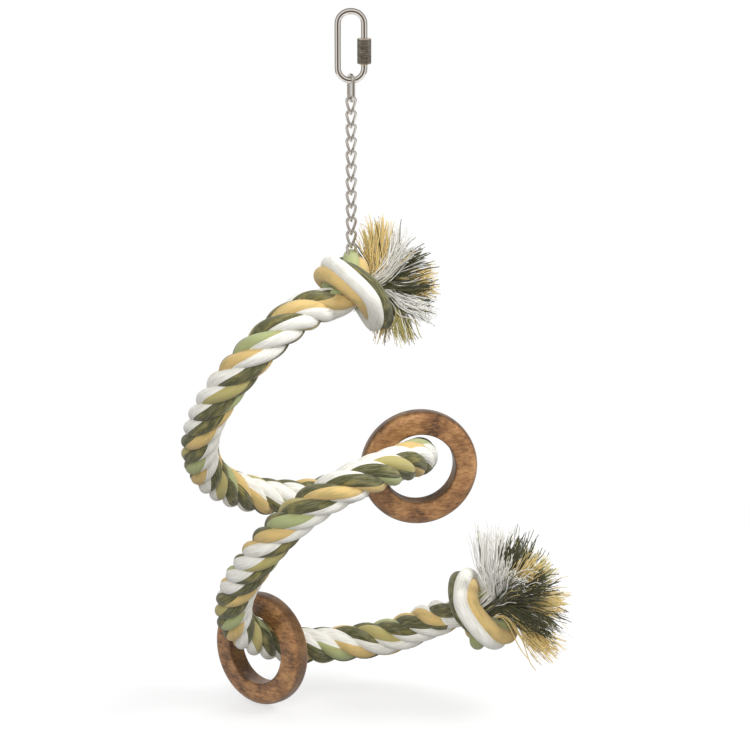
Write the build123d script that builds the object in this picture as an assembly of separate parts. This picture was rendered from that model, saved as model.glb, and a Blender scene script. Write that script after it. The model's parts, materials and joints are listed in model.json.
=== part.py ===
from build123d import *
import math
import os

# A hanging bird perch: quick link, curb chain, a wire-cored cotton rope bent into a coil with a knot and a
# tassel at each end, and two loose wooden rings. Millimetres, Z up, seen from the front along +Y.
# The origin is the inside top of the quick link, where the hook it hangs from bears.

# Quick link: a bent wire with a gap that the screw sleeve closes
quick_wire_d = 3.5
quick_length = 40.0
quick_width = 17.4
quick_bend_r = 6.6
gap_opening = 4.5
sleeve_length = 14.0
sleeve_flats = 6.4
sleeve_edge = 0.5
sleeve_grip = 1.6
sleeve_seat = 1.9
thread_clearance = 0.1

# Plain oval link between the quick link and the chain
top_wire_d = 2.0
top_length = 15.6
top_width = 9.0
top_turn = 110.0

# Twisted curb chain
chain_wire_d = 1.5
chain_length = 10.3
chain_width = 6.8
chain_twist = 90.0
chain_turn = 45.0
chain_count = 11
end_bend_share = 0.9
link_play = 0.1

# Rope and the wire inside it
rope_d = 21.0
core_d = 3.0
core_clearance = 0.2
core_recess = 2.0
bend_share = 0.45
upper_lead = 13.0
lower_lead = 15.0

# Overhand knots, in which the rope is pulled thinner
knot_rope_d = 17.0
knot_pitch_share = 0.883
knot_squeeze_share = 0.7
neck_length = 5.0
neck_inset = 0.5
tuft_clearance = 0.3
anchor_clearance = 0.15

# Frayed ends
tuft_count = 19
tuft_root_d = 4.4
upper_tuft_d = 11.0
upper_tuft_length = 27.0
upper_tuft_spread = 76.0
upper_tuft_lean = (0.90, 0.35, 0.08)
lower_tuft_d = 13.0
lower_tuft_length = 36.0
lower_tuft_spread = 72.0
lower_tuft_lean = (0.85, -0.45, 0.25)

# Wooden rings
ring_d = 64.0
ring_hole_d = 39.0
ring_thickness = 12.0
ring_outer_round = 4.5
ring_inner_round = 1.2
ring_clearance = 0.3
upper_ring_axis = (0.15, -0.985, -0.02)
lower_ring_axis = (0.655, 0.75, -0.06)

# Centre line of the coil from the top down, measured from the middle of the link tied into the upper knot.
# Each ring hangs between the end of one stretch and the start of the next.
upper_stretch = [
    (-37, -36, -33), (-50, -39, -45), (-61, -37, -58), (-73, -31, -75), (-81, -17, -95), (-83, 2, -116),
    (-77, 23, -134), (-63, 41, -147), (-43, 55, -155), (-20, 61, -156), (4, 58, -146), (24, 42, -130),
    (37, 15, -118),
]
middle_stretch = [
    (36, -13, -110), (22, -37, -108), (2, -54, -111), (-18, -58, -121), (-37, -51, -139), (-53, -37, -163),
    (-64, -16, -187), (-66, 2, -208), (-59, 18, -223),
]
lower_stretch = [(-43, 36, -235), (-25, 48, -241), (-5, 55, -242), (15, 57, -240), (31, 53, -234)]

# Half of an overhand knot, from the middle of its crown to where the rope leaves it, in shares of its pitch
knot_half_shares = [
    (-0.31, 1.41, -0.34), (-0.83, 1.24, -0.93), (-1.21, 0.59, -1.07), (-1.24, -0.14, -0.86),
    (-1.03, -0.59, -0.31), (-0.52, -0.62, 0.31), (0.03, -0.10, 0.59), (0.41, 0.41, 0.34),
    (1.1, 0.52, -0.03),
]
coil_tail_shares = (1.9, 0.42, 0.0)
tassel_tail_shares = (1.8, 0.58, -0.04)

# Where each knot lies from the tied link, where its rope leads and where its crown points
upper_knot_centre = (0, 0, -knot_rope_d)
upper_knot_axis = (0.72, 0.64, 0.16)
upper_knot_crown = (0.62, -0.58, -0.53)
lower_knot_centre = (73.5, 24, -216)
lower_knot_axis = (0.70, -0.62, 0.34)
lower_knot_crown = (-0.55, -0.18, 0.81)


def bend_radii(points):
    """One radius for each inner point, as large as the two runs beside it allow."""
    runs = [b - a for a, b in zip(points, points[1:])]
    radii = []
    for before, after in zip(runs, runs[1:]):
        half_turn = math.radians(before.get_angle(after)) / 2
        radii.append(bend_share * min(before.length, after.length) / math.tan(half_turn))
    return radii


def tube(path, diameter, bore=0.0):
    """A round tube along a path, hollow where a bore is given."""
    start = Plane(origin=path @ 0, z_dir=path % 0)
    section = Circle(diameter / 2)
    if bore:
        section -= Circle(bore / 2)
    return sweep(start * section, path=path)


def chain_link(corner_angles, half_width, half_length, wire_d, bends):
    """A link whose two equal halves each run from its top over one side to its bottom."""
    top, middle, bottom = [Vector(half_width, 0, 0).rotate(Axis.Z, angle) for angle in corner_angles]
    rise = Vector(0, 0, half_length)
    points = [rise, top + rise, bottom - rise, -rise]
    if top != bottom:
        points.insert(2, middle)
    half = tube(FilletPolyline(*points, radius=bends), wire_d)
    return half + half.rotate(Axis.Z, 180)


def knot_frame(centre, axis, crown):
    """Local X runs along the rope to the tassel and local Y out through the knot's crown."""
    along = Vector(axis)
    return Plane(origin=centre, x_dir=along, z_dir=along.cross(Vector(crown)))


def knot_route():
    """The overhand knot's corners from the coil to the tassel, each half the other turned about local Y."""
    pitch = knot_pitch_share * knot_rope_d
    steps = (knot_squeeze_share * pitch, pitch, pitch)
    half = [Vector(*[c * step for c, step in zip(p, steps)]) for p in knot_half_shares]
    coil_tail = Vector(*[c * step for c, step in zip(coil_tail_shares, steps)]) + Vector(neck_length, 0, 0)
    tassel_tail = Vector(*[c * step for c, step in zip(tassel_tail_shares, steps)])
    to_tassel = [*half, tassel_tail]
    to_coil = [*half, coil_tail]
    return [Vector(-p.X, p.Y, -p.Z) for p in to_coil[::-1]] + to_tassel


def knot_tubes(points, diameter):
    """The pulled-tight rope of a knot: its neck and two halves that meet in the crown."""
    radii = bend_radii(points)
    crown = len(knot_half_shares)
    middle = (points[crown] + points[crown + 1]) / 2
    neck_end_r = knot_rope_d / 2 - neck_inset
    cone = Cone(rope_d / 2, neck_end_r, neck_length, align=(Align.CENTER, Align.CENTER, Align.MIN))
    neck = Plane(origin=points[0], z_dir=points[1] - points[0]) * cone
    from_coil = tube(FilletPolyline(*points[:crown + 1], middle, radius=radii[:crown]), diameter)
    to_tassel = tube(FilletPolyline(middle, *points[crown + 1:], radius=radii[crown:]), diameter)
    return neck, from_coil, to_tassel


def tassel(frame, knot, lean, length, tip_d, spread):
    """Tufts that leave the rope's cut end in a sunflower pattern, fan out and keep clear of the knot."""
    turn, end = [frame.from_local_coords(p) for p in knot[-2:]]
    cut_end = Plane(origin=end, z_dir=end - turn)
    base = cut_end * Cylinder(knot_rope_d / 2, tuft_root_d, align=(Align.CENTER, Align.CENTER, Align.MIN))
    fan = Plane(origin=base.center(), z_dir=lean)
    golden = 180 * (3 - math.sqrt(5))
    tufts = []
    for i in range(tuft_count):
        share = math.sqrt((i + 0.5) / tuft_count)
        reach = share * (knot_rope_d - tuft_root_d) / 2
        tuft = Cone(tuft_root_d / 2, tip_d / 2, length, align=(Align.CENTER, Align.CENTER, Align.MIN))
        tufts.append(fan * Rot(0, 0, i * golden) * Pos(reach, 0, 0) * Rot(0, share * spread, 0) * tuft)
    body = base.fuse(*tufts)
    for piece in knot_tubes(knot, knot_rope_d + 2 * tuft_clearance):
        body -= frame * piece
    return body.solids().sort_by(SortBy.VOLUME)[-1]


def wooden_ring():
    """A turned ring with well rounded outer edges, about the Z axis."""
    wall = (ring_d - ring_hole_d) / 2
    middle = (ring_d + ring_hole_d) / 4
    profile = Plane.XZ * Pos(middle, 0) * Rectangle(wall, ring_thickness)
    profile = fillet(profile.vertices().group_by(Axis.X)[-1], ring_outer_round)
    profile = fillet(profile.vertices().group_by(Axis.X)[0], ring_inner_round)
    return revolve(profile, Axis.Z)


def ring_place(above, below, axis):
    """The plane of a ring that hangs on the rope half way between two points, clear of it all round."""
    axis = Vector(axis).normalized()
    lean = math.acos(abs(axis.dot((below - above).normalized())))
    room = ring_hole_d / 2 - rope_d / 2 / math.cos(lean) - ring_thickness / 2 * math.tan(lean)
    down = (Vector(0, 0, -1) + axis * axis.Z).normalized()
    return Plane(origin=(above + below) / 2 + down * (room - ring_clearance), z_dir=axis)


def least_gap(path, diameter, count=300):
    """The least gap that a tube along the path leaves to itself, on points along it."""
    spots = [path @ (i / count) for i in range(count + 1)]
    step = path.length / count
    skip = math.ceil(math.pi * diameter / step)
    pairs = ((a, b) for i, a in enumerate(spots) for b in spots[i + skip:])
    return min((a - b).length for a, b in pairs) - diameter


parts = {}

# Quick link
quick_x = (quick_width - quick_wire_d) / 2
quick_top = quick_wire_d / 2
quick_bottom = quick_top - (quick_length - quick_wire_d)
sleeve_low = quick_bottom + quick_bend_r + sleeve_seat
gap_low = sleeve_low + sleeve_grip
gap_high = gap_low + gap_opening
quick_points = [
    (quick_x, 0, gap_low), (quick_x, 0, quick_bottom), (-quick_x, 0, quick_bottom),
    (-quick_x, 0, quick_top), (quick_x, 0, quick_top), (quick_x, 0, gap_high),
]
parts["quick_link"] = tube(FilletPolyline(*quick_points, radius=quick_bend_r), quick_wire_d)

# Screw sleeve
hexagon = RegularPolygon(sleeve_flats / 2, 6, major_radius=False)
sleeve = extrude(hexagon, sleeve_length)
sleeve = chamfer(sleeve.faces().filter_by(Axis.Z).edges(), sleeve_edge)
sleeve -= extrude(Circle(quick_wire_d / 2 + thread_clearance), sleeve_length)
parts["screw_sleeve"] = Pos(quick_x, 0, sleeve_low) * sleeve

# Plain oval link
top_half_width = (top_width - top_wire_d) / 2
top_half_length = (top_length - top_wire_d) / 2
top_z = quick_bottom + (quick_wire_d + top_wire_d) / 2 + link_play - top_half_length
oval = chain_link((0, 0, 0), top_half_width, top_half_length, top_wire_d, end_bend_share * top_half_width)
parts["top_link"] = Pos(0, 0, top_z) * Rot(0, 0, top_turn) * oval

# Curb chain and the link that is tied into the upper knot
curb_half_width = (chain_width - chain_wire_d) / 2
curb_half_length = (chain_length - chain_wire_d) / 2
curb_pitch = 2 * curb_half_length - chain_wire_d - link_play
curb_angles = (-chain_twist / 2, 0, chain_twist / 2)
curb_corner = Vector(curb_half_width, 0, curb_half_length).rotate(Axis.Z, curb_angles[0])
curb_side = Vector(curb_half_width, 0, 0) - curb_corner
curb_turn = math.radians(curb_side.get_angle(Vector(curb_corner.X, curb_corner.Y, 0)))
curb_end_r = end_bend_share * curb_half_width / math.tan(curb_turn / 2)
curb_turn_side = math.radians(curb_side.get_angle(Vector(-curb_side.X, curb_side.Y, curb_side.Z)))
curb_side_r = bend_share * curb_side.length / math.tan(curb_turn_side / 2)
curb_bends = [curb_end_r, curb_side_r, curb_end_r]
curb = chain_link(curb_angles, curb_half_width, curb_half_length, chain_wire_d, curb_bends)
curb_z = top_z - top_half_length + (top_wire_d + chain_wire_d) / 2 + link_play - curb_half_length
for i in range(chain_count):
    parts[f"chain_link_{i + 1:02d}"] = Pos(0, 0, curb_z - i * curb_pitch) * Rot(0, 0, chain_turn) * curb
tied_middle = Vector(0, 0, curb_z - chain_count * curb_pitch)
tied_place = Pos(tied_middle) * Rot(0, 0, chain_turn)
parts["anchor_link"] = tied_place * curb

# Knots
knot = knot_route()
upper_frame = knot_frame(tied_middle + Vector(upper_knot_centre), upper_knot_axis, upper_knot_crown)
lower_frame = knot_frame(tied_middle + Vector(lower_knot_centre), lower_knot_axis, lower_knot_crown)
knotted_rope = sum(knot_tubes(knot, knot_rope_d), Part())
tied_bed = chain_link(curb_angles, curb_half_width, curb_half_length,
                      chain_wire_d + 2 * anchor_clearance, curb_bends)
parts["upper_knot"] = upper_frame * knotted_rope - tied_place * tied_bed
parts["lower_knot"] = lower_frame * knotted_rope

# Tassels
parts["upper_tassel"] = tassel(upper_frame, knot, upper_tuft_lean, upper_tuft_length,
                               upper_tuft_d, upper_tuft_spread)
parts["lower_tassel"] = tassel(lower_frame, knot, lower_tuft_lean, lower_tuft_length,
                               lower_tuft_d, lower_tuft_spread)

# Coil and the wire that keeps it in shape
upper_end, upper_turn = [upper_frame.from_local_coords(p) for p in knot[:2]]
lower_end, lower_turn = [lower_frame.from_local_coords(p) for p in knot[:2]]
upper_out = (upper_end - upper_turn).normalized()
lower_out = (lower_end - lower_turn).normalized()
to_upper_ring = [tied_middle + Vector(p) for p in upper_stretch]
ring_to_ring = [tied_middle + Vector(p) for p in middle_stretch]
from_lower_ring = [tied_middle + Vector(p) for p in lower_stretch]
coil_inner = [upper_end + upper_out * upper_lead, *to_upper_ring, *ring_to_ring, *from_lower_ring,
              lower_end + lower_out * lower_lead]
coil_route = [upper_end, *coil_inner, lower_end]
coil_radii = bend_radii(coil_route)
coil_path = FilletPolyline(*coil_route, radius=coil_radii)
core_path = FilletPolyline(upper_end + upper_out * core_recess, *coil_inner,
                           lower_end + lower_out * core_recess, radius=coil_radii)
parts["rope_coil"] = tube(coil_path, rope_d, core_d + 2 * core_clearance)
parts["core_wire"] = tube(core_path, core_d)

# Rings
upper_ring_place = ring_place(to_upper_ring[-1], ring_to_ring[0], upper_ring_axis)
lower_ring_place = ring_place(ring_to_ring[-1], from_lower_ring[0], lower_ring_axis)
parts["upper_ring"] = upper_ring_place * wooden_ring()
parts["lower_ring"] = lower_ring_place * wooden_ring()

os.makedirs("parts", exist_ok=True)
for name, shape in parts.items():
    export_step(shape, f"parts/{name}.step")

print("knot bends", [round(r, 1) for r in bend_radii(knot)])
print("rope bends", [round(r, 1) for r in coil_radii])
print("rope length", round(coil_path.length, 1), "least gap", round(least_gap(coil_path, rope_d), 1))
section = math.pi / 4 * (rope_d ** 2 - (core_d + 2 * core_clearance) ** 2)
print("rope volume", round(parts["rope_coil"].volume))
print("section times length", round(section * coil_path.length))
for place in (upper_ring_place, lower_ring_place):
    print("ring middle", place.origin, "axis", place.z_dir)
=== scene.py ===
# %% [markdown]
# # A hanging rope perch for a bird
# The perch is a thick cotton rope, bent into a spiral and knotted and frayed at both ends. It hangs from a
# quick link and a curb chain, and two wooden rings hang loose on it. The metal pieces come from the packed
# model as they are. The rope, its knots and tassels and the rings are made here, in metres, in the frame of
# that model.

# %% Load the frame
import json
import math
import bpy
import numpy as np
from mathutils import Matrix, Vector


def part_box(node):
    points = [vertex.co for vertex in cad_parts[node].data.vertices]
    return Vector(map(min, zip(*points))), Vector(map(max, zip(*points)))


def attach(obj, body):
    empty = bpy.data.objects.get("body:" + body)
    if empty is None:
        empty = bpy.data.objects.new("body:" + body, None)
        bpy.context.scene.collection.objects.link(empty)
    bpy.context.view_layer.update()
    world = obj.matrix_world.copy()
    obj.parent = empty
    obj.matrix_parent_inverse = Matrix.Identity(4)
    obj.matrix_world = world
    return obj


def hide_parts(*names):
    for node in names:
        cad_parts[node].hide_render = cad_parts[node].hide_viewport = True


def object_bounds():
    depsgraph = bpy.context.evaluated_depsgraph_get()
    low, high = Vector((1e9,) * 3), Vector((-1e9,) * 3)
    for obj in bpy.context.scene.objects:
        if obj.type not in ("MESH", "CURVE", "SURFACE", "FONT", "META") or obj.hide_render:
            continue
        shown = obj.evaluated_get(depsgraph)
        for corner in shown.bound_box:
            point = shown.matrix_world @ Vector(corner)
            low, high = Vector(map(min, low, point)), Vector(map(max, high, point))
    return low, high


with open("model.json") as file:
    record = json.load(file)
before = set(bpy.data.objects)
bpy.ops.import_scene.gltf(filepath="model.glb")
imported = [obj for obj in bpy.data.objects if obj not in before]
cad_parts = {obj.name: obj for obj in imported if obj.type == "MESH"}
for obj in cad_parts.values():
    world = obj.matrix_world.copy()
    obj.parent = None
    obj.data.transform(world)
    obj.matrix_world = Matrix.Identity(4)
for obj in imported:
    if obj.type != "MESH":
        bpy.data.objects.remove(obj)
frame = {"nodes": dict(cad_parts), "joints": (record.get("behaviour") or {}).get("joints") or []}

cad_box = [[float(c) for c in corner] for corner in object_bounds()]
MM = 0.001
print("frame box", [[round(c, 4) for c in corner] for corner in cad_box])

# %% [markdown]
# ## Camera, floor and light
# The photograph looks down a little on the perch from far away, so a long lens 1.6 m off repeats its slight
# perspective. The floor lies just under the lowest ring and catches a soft shadow. A grey world and large
# lamps give the even light of a photographer's tent. The camera sees plain white. Plated wire mirrors a
# white backdrop too, and pale and dark bands of the room in front of it, which draw the dark lines along
# the wire.

# %% Camera
camera_lens = bpy.data.cameras.new("photo_camera")
camera_lens.lens = 142.2
camera_lens.sensor_width = 36.0
camera = bpy.data.objects.new("photo_camera", camera_lens)
camera.location = (0.0126, -1.5455, 0.2189)
camera.rotation_euler = (math.radians(75), 0, 0)
bpy.context.collection.objects.link(camera)
bpy.context.scene.camera = camera
bpy.context.scene.view_settings.view_transform = "Standard"
print("camera at", tuple(camera.location))


# %% Helpers for materials
def add_node(tree, kind, settings, inputs):
    """A node with its settings, each input linked to a socket or set to a value; in3 is input number 3."""
    node = tree.nodes.new(kind)
    for key, value in (settings or {}).items():
        setattr(node, key, value)
    for key, value in inputs.items():
        numbered = key.startswith("in") and key[2:].isdigit()
        socket = node.inputs[int(key[2:]) if numbered else key.replace("_", " ")]
        if isinstance(value, bpy.types.NodeSocket):
            tree.links.new(value, socket)
        else:
            socket.default_value = value
    return node


def adder(tree):
    """A short way to add nodes to one tree: the kind, its settings, and its inputs by name or number."""
    def add(kind, settings=None, **inputs):
        return add_node(tree, kind, settings, inputs)

    return add


def new_material(name):
    """An empty node material, a short way to add nodes to it, its output and its tree."""
    material = bpy.data.materials.new(name)
    material.use_nodes = True
    tree = material.node_tree
    tree.nodes.clear()
    output = tree.nodes.new("ShaderNodeOutputMaterial")
    return material, adder(tree), output, tree


def seen_directly(add):
    """1 for rays from the camera, a glossy surface or through glass, 0 for light that falls on things."""
    path = add("ShaderNodeLightPath")
    first = add("ShaderNodeMath", {"operation": "MAXIMUM"}, in0=path.outputs["Is Camera Ray"],
                in1=path.outputs["Is Glossy Ray"])
    return add("ShaderNodeMath", {"operation": "MAXIMUM"}, in0=first.outputs[0],
               in1=path.outputs["Is Transmission Ray"]).outputs[0]


# %% World
front_shade = (0.12, 0.10, 0.08, 1)
backdrop_start = 0.86
room_bands = [(0.04, 0.16), (0.10, 1.0), (0.22, 1.0), (0.29, 0.38), (0.36, 0.85), (0.46, 0.8), (0.56, 0.13),
              (0.76, 0.11)]
warm_tint = (1.0, 0.97, 0.93)
white = (1, 1, 1, 1)
world = bpy.data.worlds.new("studio")
bpy.context.scene.world = world
world.use_nodes = True
world.node_tree.nodes.clear()


def build_world(ambient):
    """White to the eye, bands from front to back for reflections, and one even grey for all other light."""
    tree = world.node_tree
    add = adder(tree)
    path = add("ShaderNodeLightPath")
    place = add("ShaderNodeTexCoord")
    split = add("ShaderNodeSeparateXYZ", Vector=place.outputs["Generated"])
    room = add("ShaderNodeValToRGB", Fac=add("ShaderNodeMapRange", Value=split.outputs["Y"], From_Min=-1.0,
                                             From_Max=1.0).outputs[0])
    stops = room.color_ramp.elements
    stops[0].position = 0.0
    stops[0].color = front_shade
    stops[1].position = backdrop_start
    stops[1].color = white
    for position, grey in room_bands:
        stops.new(position).color = (*(grey * tint for tint in warm_tint), 1)
    glossy = add("ShaderNodeMix", {"data_type": "RGBA"}, in0=path.outputs["Is Glossy Ray"],
                 in6=(ambient, ambient, ambient, 1), in7=room.outputs["Color"])
    seen = add("ShaderNodeMath", {"operation": "MAXIMUM"}, in0=path.outputs["Is Camera Ray"],
               in1=path.outputs["Is Transmission Ray"])
    colour = add("ShaderNodeMix", {"data_type": "RGBA"}, in0=seen.outputs[0], in6=glossy.outputs[2],
                 in7=white)
    shader = add("ShaderNodeBackground", Color=colour.outputs[2])
    output = add("ShaderNodeOutputWorld")
    tree.links.new(shader.outputs[0], output.inputs["Surface"])


build_world(ambient=0.50)
print("world with", len(room_bands), "bands in its reflections")

# %% Lamps
middle = np.mean(cad_box, axis=0)


def soft_lamp(name, place, size, watts):
    """A square area lamp that looks at the middle of the object and that metal doesn't mirror."""
    data = bpy.data.lights.new(name, "AREA")
    data.energy = watts
    data.size = size
    lamp = bpy.data.objects.new(name, data)
    lamp.location = place
    lamp.visible_glossy = False
    direction = middle - np.array(place)
    direction = direction / np.linalg.norm(direction)
    heading = math.atan2(direction[1], direction[0])
    lamp.rotation_euler = (math.acos(-direction[2]), 0, heading - math.pi / 2)
    bpy.context.collection.objects.link(lamp)


soft_lamp("key_lamp", place=(-0.2, -1.7, 0.6), size=1.3, watts=23)
soft_lamp("side_lamp", place=(1.2, -0.2, 0.7), size=0.6, watts=15)
soft_lamp("top_lamp", place=(0.2, 0.2, 1.1), size=0.8, watts=4)
soft_lamp("back_lamp", place=(-0.4, 1.6, 0.5), size=1.2, watts=10)
print("lamps look at", middle.round(4))

# %% Floor
floor_drop = 1.5 * MM
shadow_near = 0.12
shadow_far = 0.50
glow_near = 0.62


def pale_floor(height, half_width):
    """A square floor, matt near its middle, where it catches the shadow, and white to the eye farther out."""
    mesh = bpy.data.meshes.new("floor")
    corners = [(-half_width, -half_width, height), (half_width, -half_width, height),
               (half_width, half_width, height), (-half_width, half_width, height)]
    mesh.from_pydata(corners, [], [(0, 1, 2, 3)])
    floor = bpy.data.objects.new("floor", mesh)
    bpy.context.collection.objects.link(floor)
    material, add, output, tree = new_material("pale_floor")
    matt = add("ShaderNodeBsdfDiffuse", Color=(0.93, 0.93, 0.93, 1))
    glow = add("ShaderNodeEmission", Color=white, Strength=seen_directly(add))
    place = add("ShaderNodeTexCoord")
    flat = add("ShaderNodeVectorMath", {"operation": "MULTIPLY"}, in0=place.outputs["Object"],
               in1=(1, 1, 0))
    far = add("ShaderNodeVectorMath", {"operation": "LENGTH"}, in0=flat.outputs[0])
    fade = add("ShaderNodeMapRange", {"interpolation_type": "SMOOTHSTEP"}, Value=far.outputs["Value"],
               From_Min=shadow_near, From_Max=shadow_far, To_Min=glow_near, To_Max=1.0)
    mix = add("ShaderNodeMixShader", Fac=fade.outputs[0], in1=matt.outputs[0], in2=glow.outputs[0])
    tree.links.new(mix.outputs[0], output.inputs["Surface"])
    mesh.materials.append(material)


floor_height = cad_box[0][2] - floor_drop
pale_floor(floor_height, half_width=0.6)
print("floor at", round(floor_height, 4))

# %% [markdown]
# ## The rope's centre line
# One rope makes the upper tassel, the upper knot, the coil, the lower knot and the lower tassel. Its
# control points are the same as in the solid model: half a knot in shares of its pitch, the coil from the
# top down, and a lead between them, all measured from the chain link that is tied into the upper knot. A
# quadratic NURBS with these control points is smooth where the solid has runs and arcs.

# %% Route points
rope_d = 21.0 * MM
knot_rope_d = 17.0 * MM
knot_pitch = 0.883 * knot_rope_d
knot_squeeze = 0.7
neck_length = 5.0 * MM
upper_lead = 13.0 * MM
lower_lead = 15.0 * MM
tied_middle = np.mean(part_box("anchor_link"), axis=0)
upper_stretch = MM * np.array([
    (-37, -36, -33), (-50, -39, -45), (-61, -37, -58), (-73, -31, -75), (-81, -17, -95), (-83, 2, -116),
    (-77, 23, -134), (-63, 41, -147), (-43, 55, -155), (-20, 61, -156), (4, 58, -146), (24, 42, -130),
    (37, 15, -118),
])
middle_stretch = MM * np.array([
    (36, -13, -110), (22, -37, -108), (2, -54, -111), (-18, -58, -121), (-37, -51, -139), (-53, -37, -163),
    (-64, -16, -187), (-66, 2, -208), (-59, 18, -223),
])
lower_stretch = MM * np.array([
    (-43, 36, -235), (-25, 48, -241), (-5, 55, -242), (15, 57, -240), (31, 53, -234),
])
knot_half = np.array([
    (-0.31, 1.41, -0.34), (-0.83, 1.24, -0.93), (-1.21, 0.59, -1.07), (-1.24, -0.14, -0.86),
    (-1.03, -0.59, -0.31), (-0.52, -0.62, 0.31), (0.03, -0.10, 0.59), (0.41, 0.41, 0.34),
    (1.1, 0.52, -0.03),
])
coil_tail = (1.9, 0.42, 0.0)
tassel_tail = (1.8, 0.58, -0.04)


def unit(v):
    """Vectors of length one along the last axis."""
    v = np.asarray(v, float)
    return v / np.linalg.norm(v, axis=-1, keepdims=True)


def knot_points(centre, axis, crown):
    """An overhand knot's corners from coil to tassel: a half, and that half turned half round local Y."""
    along = unit(axis)
    across = unit(np.cross(along, crown))
    axes = np.stack([along, np.cross(across, along), across])
    steps = knot_pitch * np.array([knot_squeeze, 1, 1])
    to_tassel = np.vstack([knot_half, tassel_tail]) * steps
    to_coil = np.vstack([knot_half, coil_tail]) * steps
    to_coil[-1, 0] += neck_length
    return tied_middle + np.array(centre) + np.vstack([to_coil[::-1] * (-1, 1, -1), to_tassel]) @ axes


upper_knot = knot_points(centre=(0, 0, -knot_rope_d), axis=(0.72, 0.64, 0.16), crown=(0.62, -0.58, -0.53))
lower_knot = knot_points(centre=(73.5 * MM, 24 * MM, -216 * MM), axis=(0.70, -0.62, 0.34),
                         crown=(-0.55, -0.18, 0.81))
upper_start = upper_knot[0] + unit(upper_knot[0] - upper_knot[1]) * upper_lead
lower_start = lower_knot[0] + unit(lower_knot[0] - lower_knot[1]) * lower_lead
coil_points = tied_middle + np.vstack([upper_stretch, middle_stretch, lower_stretch])
route = np.vstack([upper_knot[::-1], upper_start, coil_points, lower_start, lower_knot])
print("route of", len(route), "control points")


# %% Smooth line
def nurbs_line(points, spacing):
    """Evenly spaced points along the NURBS of order 3 that has these control points."""
    data = bpy.data.curves.new("route", "CURVE")
    data.dimensions = "3D"
    spline = data.splines.new("NURBS")
    spline.points.add(len(points) - 1)
    spline.points.foreach_set("co", np.column_stack([points, np.ones(len(points))]).ravel())
    spline.order_u = 3
    spline.use_endpoint_u = True
    data.resolution_u = 32
    holder = bpy.data.objects.new("route", data)
    mesh = bpy.data.meshes.new_from_object(holder)
    line = np.empty(len(mesh.vertices) * 3)
    mesh.vertices.foreach_get("co", line)
    line = line.reshape(-1, 3)
    bpy.data.objects.remove(holder)
    bpy.data.curves.remove(data)
    bpy.data.meshes.remove(mesh)
    far = np.concatenate([[0], np.cumsum(np.linalg.norm(np.diff(line, axis=0), axis=1))])
    stations = np.linspace(0, far[-1], round(far[-1] / spacing) + 1)
    return stations, np.column_stack([np.interp(stations, far, line[:, i]) for i in range(3)])


station_spacing = 1.5 * MM
stations, line = nurbs_line(route, station_spacing)
print("rope", len(stations), "stations,", round(stations[-1], 4), "m from cut end to cut end")


# %% Frames along the line
def carried_frames(points):
    """Tangents, and normals carried along without twist: each is the last one made square to its tangent."""
    tangents = unit(np.gradient(points, axis=0))
    normals = np.empty_like(tangents)
    normal = np.cross(tangents[0], (0, 0, 1))
    for i, tangent in enumerate(tangents):
        normal = normal - tangent * (normal @ tangent)
        normal = normal / np.linalg.norm(normal)
        normals[i] = normal
    return tangents, normals, np.cross(tangents, normals)


tangents, normals, binormals = carried_frames(line)
bending = np.gradient(tangents, stations, axis=0)
upper_seam = np.argmin(np.linalg.norm(line - upper_knot[0], axis=1))
lower_seam = np.argmin(np.linalg.norm(line - lower_knot[0], axis=1))
print("coil from station", upper_seam, "to", lower_seam,
      "length", round(stations[lower_seam] - stations[upper_seam], 4))

# %% [markdown]
# ## Four strands of three plies
# The rope is laid right-handed from four strands, and each strand is twisted the other way from three fat
# plies, so a ply shows as an almond nearly in line with the rope. In the knots the rope is pulled long: the
# strands hardly turn, lie fat beside each other and keep one ply outside. A texture could fake this on a
# tube, but its outline would stay smooth. Here each strand is a tube round a helix, its grid turns with the
# plies, and each ply bulges.

# %% Lay of the rope
lay_length = 50.0 * MM
knot_lay = 170.0 * MM
strand_count = 4
ply_count = 3
ply_facets = 12
coil_strand_share = 0.45
knot_strand_share = 0.50
ply_rise = 0.5 * MM
ply_roundness = 0.6
knot_ply_share = 0.3
counter_twist = -1.6
knot_twist = -0.3
first_turn = math.radians(-90)
bend_limit = 0.78
press_power = 4
seam_ease = 16.0 * MM


def coil_weight(ease):
    """1 along the coil and 0 in the knots, with a smooth step of the given length at each seam."""
    into_coil = (stations - stations[upper_seam] + ease / 2) / ease
    out_of_coil = (stations[lower_seam] - stations + ease / 2) / ease
    share = np.clip(np.minimum(into_coil, out_of_coil), 0, 1)
    return share * share * (3 - 2 * share)


def summed(rate):
    """The running sum of a rate along the rope, from its upper cut end."""
    return np.concatenate([[0], np.cumsum((rate[1:] + rate[:-1]) / 2 * np.diff(stations))])


weight = coil_weight(seam_ease)
radius = (knot_rope_d + (rope_d - knot_rope_d) * weight) / 2
strand_share = knot_strand_share + (coil_strand_share - knot_strand_share) * weight
lay_rate = 2 * math.pi * (1 / knot_lay + (1 / lay_length - 1 / knot_lay) * weight)
lay_turn = first_turn + summed(lay_rate)
ply_turn = summed((knot_twist + (counter_twist - knot_twist) * weight) * lay_rate)
print("the strands turn", round((lay_turn[-1] - lay_turn[0]) / (2 * math.pi), 2), "times")


# %% Strand surface
def keep_outside_bend(offset, first, last):
    """Offsets far into a bend are pressed back, so the rope flattens there and doesn't turn inside out."""
    curve = bending[first:last, None, :]
    into = np.sum(offset * curve, axis=-1, keepdims=True)
    sharp = np.maximum(np.sum(curve * curve, axis=-1, keepdims=True), 1e-9)
    strain = np.maximum(into, 0) / bend_limit
    pressed = np.where(into > 0, into / (1 + strain ** press_power) ** (1 / press_power), into)
    return offset + (pressed - into) * curve / sharp


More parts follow.
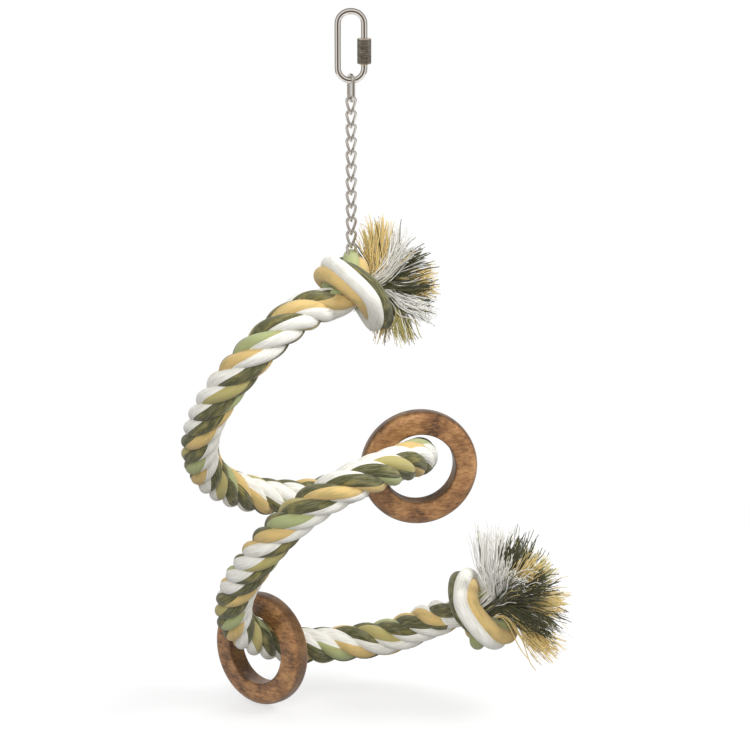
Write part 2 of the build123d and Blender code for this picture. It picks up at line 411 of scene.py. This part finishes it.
def strand_rings(strand, first, last):
    """Rings of one strand: a helix at the lay's angle, and round it a circle that turns with the plies."""
    turn = lay_turn[first:last] + 2 * math.pi * strand / strand_count
    outward = np.cos(turn)[:, None] * normals[first:last] + np.sin(turn)[:, None] * binormals[first:last]
    sideways = np.cross(tangents[first:last], outward)
    strand_r = (strand_share * radius)[first:last, None]
    helix_r = radius[first:last, None] - strand_r
    along = unit(tangents[first:last] + helix_r * lay_rate[first:last, None] * sideways)
    across = np.cross(along, outward)
    columns = np.arange(ply_count * ply_facets) / (ply_count * ply_facets)
    start = 2 * math.pi * counter_twist * strand / strand_count
    angle = 2 * math.pi * columns[None, :] + ply_turn[first:last, None] + start
    ridge = ply_rise * (np.abs(np.sin(math.pi * ply_count * columns)) ** ply_roundness - 1)
    size = (strand_r + weight[first:last, None] * ridge[None, :])[..., None]
    offset = (helix_r * outward)[:, None, :] + size * (
        np.cos(angle)[..., None] * outward[:, None, :] + np.sin(angle)[..., None] * across[:, None, :])
    return line[first:last, None, :] + keep_outside_bend(offset, first, last)


# %% Bundles of tubes as meshes
def corner_map(across, along):
    """UV corners of every quad and of both caps, from across[tube, row, column] and along[tube, row]."""
    columns = across.shape[2] - 1
    u = np.stack([across[:, :-1, :-1], across[:, :-1, 1:], across[:, 1:, 1:], across[:, 1:, :-1]], axis=-1)
    ends = along[:, :, None] + np.zeros((1, 1, columns))
    v = np.stack([ends[:, :-1], ends[:, :-1], ends[:, 1:], ends[:, 1:]], axis=-1)
    caps = [np.column_stack([np.repeat(across[:, row].mean(axis=1), columns),
                             np.repeat(along[:, row], columns)]) for row in (0, -1)]
    return np.concatenate([np.stack([u, v], axis=-1).reshape(-1, 2), *caps]).ravel()


def tube_bundle(name, rings, plies, fibres, along, facing=None):
    """A mesh of closed tubes from rings[tube, row, column], with UV maps for colours and for fibres."""
    tubes, rows, columns, _ = rings.shape
    index = np.arange(tubes * rows * columns).reshape(tubes, rows, columns)
    beside = np.roll(index, -1, axis=2)
    quads = np.stack([index[:, :-1], beside[:, :-1], beside[:, 1:], index[:, 1:]], axis=-1).reshape(-1, 4)
    caps = np.concatenate([index[:, 0, ::-1], index[:, -1]])
    mesh = bpy.data.meshes.new(name)
    mesh.from_pydata(rings.reshape(-1, 3), [], quads.tolist() + caps.tolist())
    mesh.uv_layers.new(name="ply").data.foreach_set("uv", corner_map(plies, along))
    mesh.uv_layers.new(name="fibre").data.foreach_set("uv", corner_map(fibres, along))
    smooth = np.arange(len(mesh.polygons)) < len(quads)
    mesh.polygons.foreach_set("use_smooth", smooth)
    if facing is not None:
        mesh.normals_split_custom_set_from_vertices(facing.reshape(-1, 3))
    piece = bpy.data.objects.new(name, mesh)
    bpy.context.collection.objects.link(piece)
    return piece


def rope_piece(name, first, last):
    """The strands between two stations; in the knots the middle ply of each strand widens all round it.

    The normals come from rings one row longer at each end, so that neighbouring pieces shade as one rope.
    """
    before = max(first - 1, 0)
    after = min(last + 1, len(stations))
    rings = np.stack([strand_rings(strand, before, after) for strand in range(strand_count)])
    down = np.gradient(rings, axis=1)
    round_it = np.roll(rings, -1, axis=2) - np.roll(rings, 1, axis=2)
    rows = slice(first - before, last - before)
    facing = unit(np.cross(round_it, down))[:, rows]
    rings = rings[:, rows]
    columns = np.linspace(0, 1, ply_count * ply_facets + 1)
    spread = knot_ply_share + (1 - knot_ply_share) * weight[first:last]
    plies = 0.5 + (columns - 0.5)[None, :] * spread[:, None]
    strands = np.arange(strand_count)[:, None, None]
    fibres = np.broadcast_to(strands + columns, (strand_count, last - first, len(columns)))
    along = np.tile(stations[first:last] / lay_length, (strand_count, 1))
    piece = tube_bundle(name, rings, (strands + plies[None]) / strand_count, fibres / strand_count, along,
                        facing)
    print(name, len(piece.data.polygons), "faces")
    return piece


undone_rows = 7
upper_end = undone_rows
lower_end = len(stations) - 1 - undone_rows
coil = rope_piece("rope_strands", upper_seam, lower_seam + 1)
upper_wrap = rope_piece("upper_knot_strands", upper_end, upper_seam + 1)
lower_wrap = rope_piece("lower_knot_strands", lower_seam, lower_end + 1)

# %% [markdown]
# ## Frayed ends
# Past each knot the strands come undone and their plies split into tufts of threads that fan out like a
# brush. A hair system would be quick, but its threads are no mesh, so each thread is a thin four-sided
# tube. Most of a tuft has one ply's colour, with some stray threads of others. Its threads leave the rope
# together, bend from the rope's direction to the tuft's own, wave a little and are pushed out of the knot.
# The tufts stand in rings round the middle of the brush, listed from the top towards the front.

# %% Tufts
threads_per_tuft = 56
front_press = 0.4
strand_plies = [
    ["dark green", "white", "ochre"],
    ["white", "ochre", "dark green"],
    ["white", "light green", "dark green"],
    ["white", "dark green", "olive"],
]
ply_order = [colour for strand in strand_plies for colour in strand]


def tuft_rings(rings):
    """Polar angle, angle round the brush and ply of each tuft, from rings of (polar degrees, colours)."""
    polar = np.concatenate([np.full(len(row), math.radians(angle)) for angle, row in rings])
    around = np.concatenate([2 * math.pi * np.arange(len(row)) / len(row) for _, row in rings])
    ply = np.array([ply_order.index(colour) for _, row in rings for colour in row])
    return polar, around, ply


# %% Threads
thread_rows = 14
thread_sides = 4
thread_r = 0.36 * MM
thread_widths = (0.75, 1.2)
tip_thinning = 0.5
thread_lengths = (0.78, 1.06)
outer_growth = 0.12
turn_share = 0.42
tuft_scatter = 0.08
thread_scatter = 0.10
root_spread = 0.72
root_scatter = 0.16
root_depth = 2.0 * MM
stray_share = 0.06
stray_wave = 0.5
plain_wave = 0.17
tuft_wave = 0.22
tuft_phase = 2.0
knot_room = knot_rope_d / 2 + 1.0 * MM
push_rate = 3
push_delay = 0.6
mixed_share = 0.15
shade_range = (0.3, 0.7)
shade_width = 0.2
fibre_shift = 9
down_thread = np.linspace(0, 1, thread_rows)


def pushed_out(path, knot_line):
    """Paths with the points inside the knot's rope moved straight away from its nearest centre point."""
    away_from = path[:, :, None, :] - knot_line[None, None]
    gap = np.linalg.norm(away_from, axis=-1)
    nearest = np.argmin(gap, axis=-1)[..., None]
    least = np.take_along_axis(gap, nearest, axis=-1)
    push = np.take_along_axis(away_from, nearest[..., None], axis=2)[:, :, 0] / np.maximum(least, 1e-6)
    past_root = np.clip(push_rate * down_thread - push_delay, 0, 1)[None, :, None]
    return path + push * np.maximum(knot_room - least, 0) * past_root


def thread_tubes(path, chance):
    """Rings of four corners round each path, square to it and thinner towards the tip."""
    count = len(path)
    heads = unit(np.gradient(path, axis=1))
    side = unit(np.cross(heads, chance.normal(0, 1, (count, 1, 3))))
    other = np.cross(heads, side)
    spin = 2 * math.pi * np.arange(thread_sides) / thread_sides
    taper = (1 - tip_thinning * down_thread ** 3)[None, :, None, None]
    thin = thread_r * taper * chance.uniform(*thread_widths, (count, 1, 1, 1))
    return path[:, :, None, :] + thin * (np.cos(spin)[:, None] * side[:, :, None, :]
                                         + np.sin(spin)[:, None] * other[:, :, None, :])


def thread_paths(end, heading, lean, polar, around, length, chance):
    """Paths and lengths: a thread turns from the heading to its tuft's place in a fan round lean."""
    count = len(polar)
    tufts = count // threads_per_tuft

    def by_tuft(spread, shape):
        """A chance value for each tuft, given to all its threads."""
        return np.repeat(chance.normal(0, spread, (tufts, *shape)), threads_per_tuft, axis=0)

    up = unit(np.array([0, 0, 1.0]) - lean * lean[2])
    front = np.cross(lean, up)
    away = np.cos(around)[:, None] * up + np.sin(around)[:, None] * front
    goal = unit(np.cos(polar)[:, None] * lean + np.sin(polar)[:, None] * away + by_tuft(tuft_scatter, (3,))
                + chance.normal(0, thread_scatter, (count, 3)))
    cut_r = radius[end]
    flat = away - (away @ heading)[:, None] * heading
    root = flat * (root_spread * cut_r * np.sin(polar / 2) * math.sqrt(2))[:, None]
    root = root + chance.normal(0, root_scatter, (count, 3)) * cut_r
    size = length * chance.uniform(*thread_lengths, count) * (1 + outer_growth * np.sin(polar))
    ease = np.clip(down_thread / turn_share, 0, 1)
    ease = (ease * ease * (3 - 2 * ease))[None, :, None]
    stray = np.where(chance.uniform(0, 1, count) < stray_share, stray_wave, plain_wave)[:, None, None]
    phase = chance.uniform(0, 2 * math.pi, (count, 1))
    bends = np.sin(3 * math.pi * down_thread + phase)[..., None]
    wave = stray * chance.normal(0, 1, (count, 1, 3)) * bends
    shared = by_tuft(tuft_wave, (1, 3))
    wave = wave + shared * np.sin(2 * math.pi * down_thread + by_tuft(tuft_phase, (1,)))[..., None]
    direction = unit((1 - ease) * heading + ease * goal[:, None, :] + wave * down_thread[None, :, None])
    steps = direction[:, :-1] * (size / (thread_rows - 1))[:, None, None]
    path = np.concatenate([np.zeros((count, 1, 3)), np.cumsum(steps, axis=1)], axis=1)
    return line[end] + root[:, None, :] - heading * root_depth + path, size


# %% Frayed ends
def frayed_end(name, end, heading, lean, rings, length, knot_line, seed):
    """One tassel: its threads' paths, cleared of the knot, as thin tubes that take their ply's colour."""
    chance = np.random.default_rng(seed)
    polar, around, ply = [np.repeat(values, threads_per_tuft) for values in tuft_rings(rings)]
    polar = polar * (1 - front_press * np.clip(np.sin(around), 0, 1))
    count = len(ply)
    path, size = thread_paths(end, unit(heading), unit(lean), polar, around, length, chance)
    tubes = thread_tubes(pushed_out(path, knot_line), chance)
    mixed = chance.uniform(0, 1, count) < mixed_share
    ply = np.where(mixed, chance.integers(0, len(ply_order), count), ply)
    shade = (ply + chance.uniform(*shade_range, count)) / len(ply_order)
    across = np.linspace(-shade_width, shade_width, thread_sides + 1)[None, :] / len(ply_order)
    across = shade[:, None] + across
    across = np.repeat(across[:, None, :], thread_rows, axis=1)
    along = size[:, None] * down_thread[None, :] / lay_length + chance.uniform(0, fibre_shift, (count, 1))
    piece = tube_bundle(name, tubes, across, across, along)
    print(name, count, "threads")
    return piece


tail_rows = 9
upper_tufts = [
    (90, ["ochre", "white", "dark green", "white", "olive", "ochre", "dark green", "dark green", "ochre"]),
    (62, ["white", "dark green", "ochre", "white", "olive", "dark green", "white", "dark green"]),
    (30, ["dark green", "ochre", "dark green", "white", "dark green"]),
    (0, ["dark green"]),
]
lower_tufts = [
    (75, ["white", "white", "dark green", "dark green", "ochre", "white", "dark green", "dark green",
          "white"]),
    (52, ["dark green", "white", "dark green", "dark green", "ochre", "dark green", "olive", "dark green"]),
    (27, ["ochre", "dark green", "ochre", "ochre", "olive"]),
    (0, ["dark green"]),
]
upper_fray = frayed_end("upper_fray", upper_end, -tangents[upper_end], lean=(0.90, 0.35, -0.04),
                        rings=upper_tufts, length=35 * MM,
                        knot_line=line[upper_end + tail_rows:upper_seam], seed=7)
lower_fray = frayed_end("lower_fray", lower_end, tangents[lower_end], lean=(0.91, -0.20, 0.36),
                        rings=lower_tufts, length=45 * MM,
                        knot_line=line[lower_seam:lower_end - tail_rows], seed=8)

# %% [markdown]
# ## Cotton
# The plies are white, ochre, light green, olive and a dark mottled green. A picture wrapped round the rope
# would blur close up, so ramps and noise draw everything over two UV maps. One runs across the plies, and a
# colour ramp with hard steps gives each ply its colour. The other runs round each strand, and noise
# stretched along the rope draws the fibres, darker streaks in white and paler ones in dark green, and
# mottles the dyed plies. Sheen gives the soft bloom of cotton.

# %% Cotton material
ply_colours = {
    "white": (0.86, 0.845, 0.79),
    "ochre": (0.70, 0.49, 0.19),
    "light green": (0.40, 0.45, 0.21),
    "olive": (0.46, 0.40, 0.15),
    "dark green": (0.078, 0.080, 0.034),
}
yarn_colours = {
    "white": (0.93, 0.915, 0.87),
    "ochre": (0.84, 0.64, 0.27),
    "light green": (0.46, 0.50, 0.22),
    "olive": (0.58, 0.51, 0.19),
    "dark green": (0.065, 0.066, 0.028),
}
fibre_scale = (150, 10, 1)
patch_scale = (26, 5, 1)
fleck_colour = (0.42, 0.39, 0.24, 1)
mottle_colour = (0.40, 0.33, 0.10, 1)


def cotton_material(name, colours, flecks, mottle):
    """Ramp of ply colours over the first UV map, flecked and mottled by noise, with fibre bump and sheen."""
    material, add, output, tree = new_material(name)
    uv = add("ShaderNodeUVMap", {"uv_map": "ply"})
    split = add("ShaderNodeSeparateXYZ", Vector=uv.outputs[0])
    ramp = add("ShaderNodeValToRGB", Fac=split.outputs["X"])
    ramp.color_ramp.interpolation = "CONSTANT"
    changes = [i for i in range(len(ply_order)) if i == 0 or ply_order[i] != ply_order[i - 1]]
    stops = ramp.color_ramp.elements
    for _ in range(len(changes) - 2):
        stops.new(0.5)
    for stop, i in zip(stops, changes):
        stop.position = i / len(ply_order)
        stop.color = (*colours[ply_order[i]], 1)
    fibre_uv = add("ShaderNodeUVMap", {"uv_map": "fibre"})
    fibre_place = add("ShaderNodeMapping", Vector=fibre_uv.outputs[0], Scale=fibre_scale)
    fibres = add("ShaderNodeTexNoise", Vector=fibre_place.outputs[0], Scale=1.0, Detail=3.0, Roughness=0.6)
    streak = add("ShaderNodeMapRange", Value=fibres.outputs["Fac"], From_Min=0.42, From_Max=0.72,
                 To_Min=0.0, To_Max=flecks)
    patch_place = add("ShaderNodeMapping", Vector=fibre_uv.outputs[0], Scale=patch_scale)
    patches = add("ShaderNodeTexNoise", Vector=patch_place.outputs[0], Scale=1.0, Detail=4.0, Roughness=0.7)
    patch = add("ShaderNodeMapRange", Value=patches.outputs["Fac"], From_Min=0.50, From_Max=0.66,
                To_Min=0.0, To_Max=mottle)
    blue = add("ShaderNodeSeparateColor", Color=ramp.outputs["Color"])
    coloured = add("ShaderNodeMapRange", Value=blue.outputs["Blue"], From_Min=0.2, From_Max=0.6, To_Min=1.0,
                   To_Max=0.0)
    share = add("ShaderNodeMath", {"operation": "MULTIPLY"}, in0=patch.outputs[0], in1=coloured.outputs[0])
    mixed = add("ShaderNodeMix", {"data_type": "RGBA"}, in0=share.outputs[0], in6=ramp.outputs["Color"],
                in7=mottle_colour)
    dyed = add("ShaderNodeMix", {"data_type": "RGBA"}, in0=streak.outputs[0], in6=mixed.outputs[2],
               in7=fleck_colour)
    bump = add("ShaderNodeBump", Strength=0.6, Distance=0.0006, Height=fibres.outputs["Fac"])
    cotton = add("ShaderNodeBsdfPrincipled", Base_Color=dyed.outputs[2], Roughness=0.92,
                 Normal=bump.outputs[0], Sheen_Weight=0.2, Sheen_Roughness=0.5, Specular_IOR_Level=0.15)
    tree.links.new(cotton.outputs[0], output.inputs["Surface"])
    return material


rope_cotton = cotton_material("dyed_rope", ply_colours, flecks=0.45, mottle=0.55)
yarn_cotton = cotton_material("dyed_yarn", yarn_colours, flecks=0.12, mottle=0.3)
for piece in (coil, upper_wrap, lower_wrap):
    piece.data.materials.append(rope_cotton)
for piece in (upper_fray, lower_fray):
    piece.data.materials.append(yarn_cotton)
print("cotton with", len(ply_order), "plies in", len(ply_colours), "colours")

# %% [markdown]
# ## Wooden rings
# Each ring is turned from one block, well rounded outside and crisp inside, then stained and waxed. A torus
# would be too round for it. The profile is a rectangle with round corners, carried round the ring's axis.
# The centre comes from the node's box and the axis from its joint, so the ring lies where the solid is.

# %% Ring surface
ring_d = 64.0 * MM
ring_hole_d = 39.0 * MM
ring_thickness = 12.0 * MM
outer_round = 4.5 * MM
inner_round = 1.2 * MM
corner_rows = 9
straight_rows = 5
shortest_straight = 1.5 * MM
ring_columns = 128
joints = {joint["name"]: joint for joint in frame["joints"]}


def ring_profile():
    """Radius and height round the wall: four corner arcs, wide outside and tight inside, and straights."""
    corners = [(ring_d / 2, 1, 1, outer_round), (ring_hole_d / 2, -1, 1, inner_round),
               (ring_hole_d / 2, -1, -1, inner_round), (ring_d / 2, 1, -1, outer_round)]
    arcs = []
    for i, (wall, side, top, corner) in enumerate(corners):
        angle = math.pi / 2 * (i + np.linspace(0, 1, corner_rows))
        arcs.append(np.column_stack([wall - side * corner + corner * np.cos(angle),
                                     top * (ring_thickness / 2 - corner) + corner * np.sin(angle)]))
    outline = np.vstack(arcs)
    fill = np.linspace(0, 1, straight_rows + 1)[:-1]
    ahead = np.roll(outline, -1, axis=0)
    wide = np.linalg.norm(ahead - outline, axis=1) > shortest_straight
    rows = [outline[i] + (ahead[i] - outline[i]) * share for i in range(len(outline))
            for share in (fill if wide[i] else fill[:1])]
    return np.array(rows)


def wooden_ring(node, joint):
    """The profile turned about the joint's axis; the grain attribute is each point in the ring's own axes."""
    low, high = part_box(node)
    centre = (np.array(low) + np.array(high)) / 2
    axis = unit(joints[joint]["axis"])
    first = unit(np.cross(axis, (0, 0, 1)))
    second = np.cross(axis, first)
    profile = ring_profile()
    turn = np.linspace(0, 2 * math.pi, ring_columns, endpoint=False)
    around = np.cos(turn)[:, None] * first + np.sin(turn)[:, None] * second
    grid = centre + profile[None, :, :1] * around[:, None, :] + profile[None, :, 1:] * axis
    rows, columns = grid.shape[:2]
    index = np.arange(rows * columns).reshape(rows, columns)
    below = np.roll(index, -1, axis=0)
    quads = np.stack([index, below, np.roll(below, -1, axis=1), np.roll(index, -1, axis=1)], axis=-1)
    mesh = bpy.data.meshes.new(node + "_wood")
    mesh.from_pydata(grid.reshape(-1, 3), [], quads.reshape(-1, 4).tolist())
    circle = np.stack([np.cos(turn), np.sin(turn)], axis=-1)
    local = np.concatenate([profile[None, :, :1] * circle[:, None, :],
                            np.broadcast_to(profile[None, :, 1:], (rows, columns, 1))], axis=-1)
    grain = mesh.attributes.new("grain", "FLOAT_VECTOR", "POINT")
    grain.data.foreach_set("vector", local.reshape(-1))
    mesh.shade_smooth()
    ring = bpy.data.objects.new(node + "_wood", mesh)
    bpy.context.collection.objects.link(ring)
    print(ring.name, len(mesh.polygons), "faces")
    return ring


upper_wood = wooden_ring("upper_ring", "upper_ring_turn")
lower_wood = wooden_ring("lower_ring", "lower_ring_turn")


# %% Wood material
# Painted shade: the ring's outer side and the wall of its hole are darkened by these shares.
outer_rim = 1.6 * MM
inner_rim = 1.2 * MM
outer_rim_painted_shade = 0.42
inner_rim_painted_shade = 0.5
grain_scale = (260, 900, 900)
blotch_share = 0.55
dark_stain = (0.075, 0.032, 0.013, 1)
middle_stain = (0.27, 0.128, 0.048, 1)
pale_stain = (0.52, 0.28, 0.115, 1)


def wood_material():
    """Stained wood: fibres along one direction, blotches of stain, painted shade on the rims and a wax coat.
    """
    material, add, output, tree = new_material("stained_wood")
    place = add("ShaderNodeAttribute", {"attribute_name": "grain"})
    lengthways = add("ShaderNodeMapping", Vector=place.outputs["Vector"], Scale=grain_scale,
                     Rotation=(0, 0, math.radians(20)))
    fibres = add("ShaderNodeTexNoise", Vector=lengthways.outputs[0], Scale=1.0, Detail=5.0, Roughness=0.65,
                 Distortion=0.4)
    blotch = add("ShaderNodeTexNoise", Vector=place.outputs["Vector"], Scale=85.0, Detail=3.0)
    fibre_tone = add("ShaderNodeMath", {"operation": "MULTIPLY"}, in0=fibres.outputs["Fac"],
                     in1=1 - blotch_share)
    tone = add("ShaderNodeMath", {"operation": "MULTIPLY_ADD"}, in0=blotch.outputs["Fac"], in1=blotch_share,
               in2=fibre_tone.outputs[0])
    ramp = add("ShaderNodeValToRGB", Fac=tone.outputs[0])
    stops = ramp.color_ramp.elements
    stops[0].position = 0.38
    stops[0].color = dark_stain
    stops[1].position = 0.63
    stops[1].color = pale_stain
    stops.new(0.49).color = middle_stain
    flat = add("ShaderNodeVectorMath", {"operation": "MULTIPLY"}, in0=place.outputs["Vector"],
               in1=(1, 1, 0))
    far = add("ShaderNodeVectorMath", {"operation": "LENGTH"}, in0=flat.outputs[0])
    # Painted shade: the colour darkens towards the ring's outer side and towards the wall of its hole.
    outside = add("ShaderNodeMapRange", {"interpolation_type": "SMOOTHSTEP"}, Value=far.outputs["Value"],
                  From_Min=ring_d / 2 - outer_rim, From_Max=ring_d / 2, To_Min=1.0, To_Max=outer_rim_painted_shade)
    inside = add("ShaderNodeMapRange", {"interpolation_type": "SMOOTHSTEP"}, Value=far.outputs["Value"],
                 From_Min=ring_hole_d / 2, From_Max=ring_hole_d / 2 + inner_rim, To_Min=inner_rim_painted_shade,
                 To_Max=1.0)
    rims = add("ShaderNodeMath", {"operation": "MULTIPLY"}, in0=outside.outputs[0], in1=inside.outputs[0])
    shade = add("ShaderNodeCombineColor", in0=rims.outputs[0], in1=rims.outputs[0], in2=rims.outputs[0])
    colour = add("ShaderNodeMix", {"data_type": "RGBA", "blend_type": "MULTIPLY"}, in0=1.0,
                 in6=ramp.outputs["Color"], in7=shade.outputs[0])
    bump = add("ShaderNodeBump", Strength=0.3, Distance=0.0004, Height=fibres.outputs["Fac"])
    gloss = add("ShaderNodeMapRange", Value=blotch.outputs["Fac"], To_Min=0.34, To_Max=0.56)
    wood = add("ShaderNodeBsdfPrincipled", Base_Color=colour.outputs[2], Roughness=gloss.outputs[0],
               Normal=bump.outputs[0], Coat_Weight=0.12, Coat_Roughness=0.35)
    tree.links.new(wood.outputs[0], output.inputs["Surface"])
    return material


stained_wood = wood_material()
for ring in (upper_wood, lower_wood):
    ring.data.materials.append(stained_wood)
print("stained wood on both rings")

# %% [markdown]
# ## Bright nickel and wire
# The quick link, its sleeve and the chain are nickel-plated steel, and keep the solid model's shape. A
# painted highlight would stay put as the links swing. A bright metal shows mostly what it reflects, so the
# finish needs only faint scratches in its roughness and a little waviness. The sleeve is coarser, and the
# wire inside the rope is dull.

# %% Nickel material
smoothest = 0.7
roughest = 1.4


def nickel_material(name, colour, roughness, scratch_scale, depth):
    """Plated steel: a metal shader with roughness from stretched noise and a fine bump."""
    material, add, output, tree = new_material(name)
    place = add("ShaderNodeTexCoord")
    lines = add("ShaderNodeMapping", Vector=place.outputs["Object"], Scale=scratch_scale)
    scratch = add("ShaderNodeTexNoise", Vector=lines.outputs[0], Scale=1.0, Detail=3.0)
    rough = add("ShaderNodeMapRange", Value=scratch.outputs["Fac"], From_Min=0.3, From_Max=0.7,
                To_Min=roughness * smoothest, To_Max=roughness * roughest)
    bump = add("ShaderNodeBump", Strength=depth, Distance=0.0002, Height=scratch.outputs["Fac"])
    metal = add("ShaderNodeBsdfPrincipled", Base_Color=colour, Metallic=1.0,
                Roughness=rough.outputs[0], Normal=bump.outputs[0])
    tree.links.new(metal.outputs[0], output.inputs["Surface"])
    return material


bright_nickel = nickel_material("bright_nickel", (0.74, 0.71, 0.67, 1), roughness=0.09,
                                scratch_scale=(500, 500, 200), depth=0.01)
chain_nickel = nickel_material("chain_nickel", (0.62, 0.585, 0.54, 1), roughness=0.09,
                               scratch_scale=(500, 500, 200), depth=0.01)
knurled_nickel = nickel_material("knurled_nickel", (0.70, 0.62, 0.53, 1), roughness=0.20,
                                 scratch_scale=(150, 150, 1500), depth=0.9)
drawn_wire = nickel_material("drawn_wire", (0.55, 0.55, 0.55, 1), roughness=0.4,
                             scratch_scale=(900, 900, 900), depth=0.2)
finishes = {"core_wire": drawn_wire, "screw_sleeve": knurled_nickel, "quick_link": bright_nickel}
for name, node in frame["nodes"].items():
    node.data.materials.clear()
    node.data.materials.append(finishes.get(name, chain_nickel))
print("metal finish on", len(frame["nodes"]), "nodes")

# %% [markdown]
# ## Riding and replacing
# Every new piece rides on the body that carries it and hides the solid that it stands for. Parenting by
# hand would do the same, but a named body keeps the piece with its joint in every pose.

# %% Ride and replace
for piece in (coil, upper_wrap, lower_wrap, upper_fray, lower_fray):
    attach(piece, "perch")
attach(upper_wood, "upper_ring")
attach(lower_wood, "lower_ring")
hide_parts("rope_coil")
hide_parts("upper_knot")
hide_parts("lower_knot")
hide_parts("upper_tassel")
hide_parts("lower_tassel")
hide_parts("upper_ring")
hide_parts("lower_ring")
